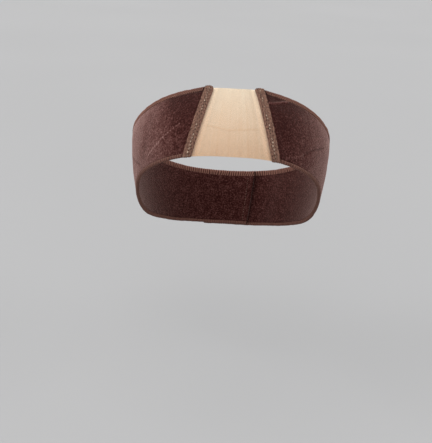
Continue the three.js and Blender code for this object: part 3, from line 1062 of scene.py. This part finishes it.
# %% [markdown]
# The edgings and the two tabs are sewn with a darker thread that nearly hides in the cloth. The outer tab
# shows its row outside and the inner tab shows it inside.

# %% Straight rows on the edgings and tabs
HEM_ROW_LENGTH, HEM_ROW_SINK, TAB_ROW_BACK = 0.55, 0.1, 5.0


def edging_stitches(side_name, edge):
    """A row on the outer leaf of an edging, just inside its free edge."""
    side = SIDES[side_name]
    start = float(along_cloth(edging_start(side, edge)))

    def place(run, lift):
        """Places on the outer leaf by the distance along the edging and off it."""
        radius = EDGING_MIDDLE - HEM_ROW_SINK + lift
        return on_edging(side, edge, turn_at(start + run), HEM_ROW_LENGTH, radius)

    name, reach = f"{edge}_edging_{side_name}_stitches", along_cloth(TAB_TURN) - start
    return stitch_row(name, "edging", "hem", reach, place)


def tab_stitches(name, side, outside):
    """A row across a tab on its outer or inner face, a little way in from the end."""
    turn = float(turn_at(along_cloth(TAB_TURN) - TAB_ROW_BACK))
    width = float(cloth_width(turn))

    def place(run, lift):
        """Places across the tab, off its outer or its inner face."""
        share = (LOW_FULL + run) / width
        crown = VELVET_CROWN * np.sin(np.pi * share)
        layer = VELVET_OUTER + crown + lift if outside else VELVET_INNER - lift
        return on_cloth(side * turn, share, strip_out(side, turn, share, layer))

    return stitch_row(f"{name}_tab_stitches", "velvet", "tab", width - LOW_FULL - HIGH_FULL, place)


HEM_ROWS = {(name, edge): edging_stitches(name, edge) for name in SIDES for edge in EDGING_WIDTHS}
TAB_ROWS = {name: tab_stitches(f"velvet_{name}", side, side == LAP_SIDE) for name, side in SIDES.items()}

# %% [markdown]
# ## Fastening
# The tabs at the nape are held by a patch of hook-and-loop tape. It lies between them and hardly shows, so
# it stays plain: a thin slab with rows of small humps for its hooks.

# %% Hook patch
PATCH_DARK, PATCH_LIGHT = (0.012, 0.008, 0.007), (0.05, 0.035, 0.03)
PATCH_TURN, PATCH_HALF_TURN, PATCH_WIDTH, PATCH_THICK = 180, 13.0, 24.0, 1.1
PATCH_ROWS, PATCH_COLUMNS, HOOK_PITCH, HOOK_HEIGHT = 97, 73, 1.3, 0.25
PATCH = thread_finish("patch", PATCH_DARK, PATCH_LIGHT, 0.2)


def hook_patch():
    """A shell with a grid of humps outside: the product of two cosines, kept above nought."""
    turn = PATCH_TURN + np.linspace(-PATCH_HALF_TURN, PATCH_HALF_TURN, PATCH_ROWS)[:, None]
    x, y = along_cloth(turn), np.linspace(-0.5, 0.5, PATCH_COLUMNS)[None] * PATCH_WIDTH
    share = 0.5 + y / cloth_width(PATCH_TURN)
    hump = np.maximum(np.cos(2 * np.pi * x / HOOK_PITCH) * np.cos(2 * np.pi * y / HOOK_PITCH), 0)
    base = VELVET_OUTER + VELVET_CROWN + GAP
    outer = on_cloth(turn, share, base + PATCH_THICK + HOOK_HEIGHT * (hump - 1))
    inner = on_cloth(turn, share, base)
    # painted shade: the tone follows the humps, lighter on their tops and darker between them
    tones = np.stack([hump, 0 * hump])
    return make_shell("hook_patch_tape", outer, inner, PATCH, "patch", x, y, node="hook_patch", height=tones)


HOOKS = hook_patch()

# %% [markdown]

# %% [markdown]
# ## Floor, light and camera
# The floor is plain pale paper far below the band, which is held well above it as when worn. Soft light
# comes from above and in front, with light from both sides that grazes the velvet and raises its sheen. The
# lamps are suns as wide as studio panels, because a sun lights the whole floor evenly and a near panel
# would leave a bright pool on it.

# %% Floor and light
FLOOR_HEIGHT, FLOOR_HALF = -0.235, 12.0
FLOOR_TONES = [(0.3, (0.395, 0.395, 0.399)), (0.7, (0.405, 0.405, 0.409))]
# scale per m, detail and roughness
FLOOR_NOISE = (1.5, 1.0, 0.5)
ROOM_STRENGTH = 0.6
LIGHTS = [
    # place in m that it shines from, strength, and width as an angle in radians
    {"name": "sky_panel", "place": (-0.35, -0.9, 1.5), "energy": 1.5, "angle": 1.2},
    {"name": "left_panel", "place": (-2.6, -0.4, 1.2), "energy": 1.4, "angle": 0.7},
    {"name": "right_panel", "place": (2.6, -0.4, 1.2), "energy": 0.95, "angle": 0.7},
]


def pale_floor():
    """One square of pale matt paper with a faint tone."""
    finish, tree = start_finish("floor_paper", Roughness=0.9)
    tone = noise(tree, own_place(tree), *FLOOR_NOISE)
    end_finish(finish, Base_Color=colour_steps(tree, tone, FLOOR_TONES))
    corners = FLOOR_HALF * np.array([[-1, -1, 0], [1, -1, 0], [1, 1, 0], [-1, 1, 0]]) + [0, 0, FLOOR_HEIGHT]
    mesh = bpy.data.meshes.new("floor")
    mesh.from_pydata(corners.tolist(), [], [(0, 1, 2, 3)])
    mesh.materials.append(finish)
    put_in_scene("floor", mesh)


def set_axes(thing, right, up, back, place):
    """Puts an object at a place, with its own axes along right, up and back."""
    axes = np.eye(4)
    axes[:3] = np.stack([right, up, back, place], 1)
    thing.matrix_world = Matrix(axes.tolist())


def soft_light(name, place, energy, angle):
    """A wide sun at a place, its face turned to the origin."""
    data = bpy.data.lights.new(name, "SUN")
    data.energy, data.angle = energy, angle
    back = unit(np.array(place))
    right = unit(np.cross([0, 0, 1], back))
    set_axes(put_in_scene(name, data), right, np.cross(back, right), back, place)


pale_floor()
for light in LIGHTS:
    soft_light(**light)
world = bpy.data.worlds.new("studio")
world.use_nodes = True
world.node_tree.nodes["Background"].inputs["Color"].default_value = (1.0, 1.0, 1.0, 1)
world.node_tree.nodes["Background"].inputs["Strength"].default_value = ROOM_STRENGTH
bpy.context.scene.world = world
bpy.context.scene.view_settings.view_transform = "Standard"
print(len(LIGHTS), "lamps and a pale room")

# %% [markdown]
# The camera looks slightly down on the brow, as the photograph does. Its place comes from fitting the
# band's edges: where the origin falls in the picture, how far away it is, and how much the picture rolls.

# %% Camera
IMAGE_WIDTH, IMAGE_HEIGHT = 432, 443
FOCAL_PIXELS, SENSOR = 700.0, 36.0
ORIGIN_PIXEL = (230.69, 141.40)
VIEW_ELEVATION, VIEW_AZIMUTH, VIEW_ROLL = np.radians([16.0, -0.22, 3.24])
VIEW_DISTANCE, NEAR, FAR = 0.56125, 0.01, 60


def photo_camera():
    """Axes towards the origin, rolled, then turned so that the origin falls on its own pixel."""
    e, a, r = VIEW_ELEVATION, VIEW_AZIMUTH, VIEW_ROLL
    back = np.array([np.sin(a) * np.cos(e), -np.cos(a) * np.cos(e), np.sin(e)])
    right = np.array([np.cos(a), np.sin(a), 0])
    aimed = np.stack([right, np.cross(back, right), back])
    off_x = (ORIGIN_PIXEL[0] - IMAGE_WIDTH / 2) / FOCAL_PIXELS
    off_y = (IMAGE_HEIGHT / 2 - ORIGIN_PIXEL[1]) / FOCAL_PIXELS
    yaw, pitch = np.arctan(off_x), np.arctan(off_y / np.hypot(1, off_x))
    roll = np.array([[np.cos(r), np.sin(r), 0], [-np.sin(r), np.cos(r), 0], [0, 0, 1]])
    tilt = np.array([[1, 0, 0], [0, np.cos(pitch), -np.sin(pitch)], [0, np.sin(pitch), np.cos(pitch)]])
    swing = np.array([[np.cos(yaw), 0, -np.sin(yaw)], [0, 1, 0], [np.sin(yaw), 0, np.cos(yaw)]])
    data = bpy.data.cameras.new("photo_view")
    data.sensor_width = SENSOR
    data.lens = FOCAL_PIXELS * SENSOR / max(IMAGE_WIDTH, IMAGE_HEIGHT)
    data.clip_start, data.clip_end = NEAR, FAR
    camera = put_in_scene("photo_view", data)
    set_axes(camera, *(swing @ tilt @ roll @ aimed), back * VIEW_DISTANCE)
    bpy.context.scene.camera = camera
    return camera


CAMERA = photo_camera()
print("lens in mm:", round(CAMERA.data.lens, 2))

# %% [markdown]
# ## Last step
# The dressed band must stay the size of the imported one. The last call brings the scene up to date.

# %% Bring the scene up to date
bpy.context.view_layer.update()
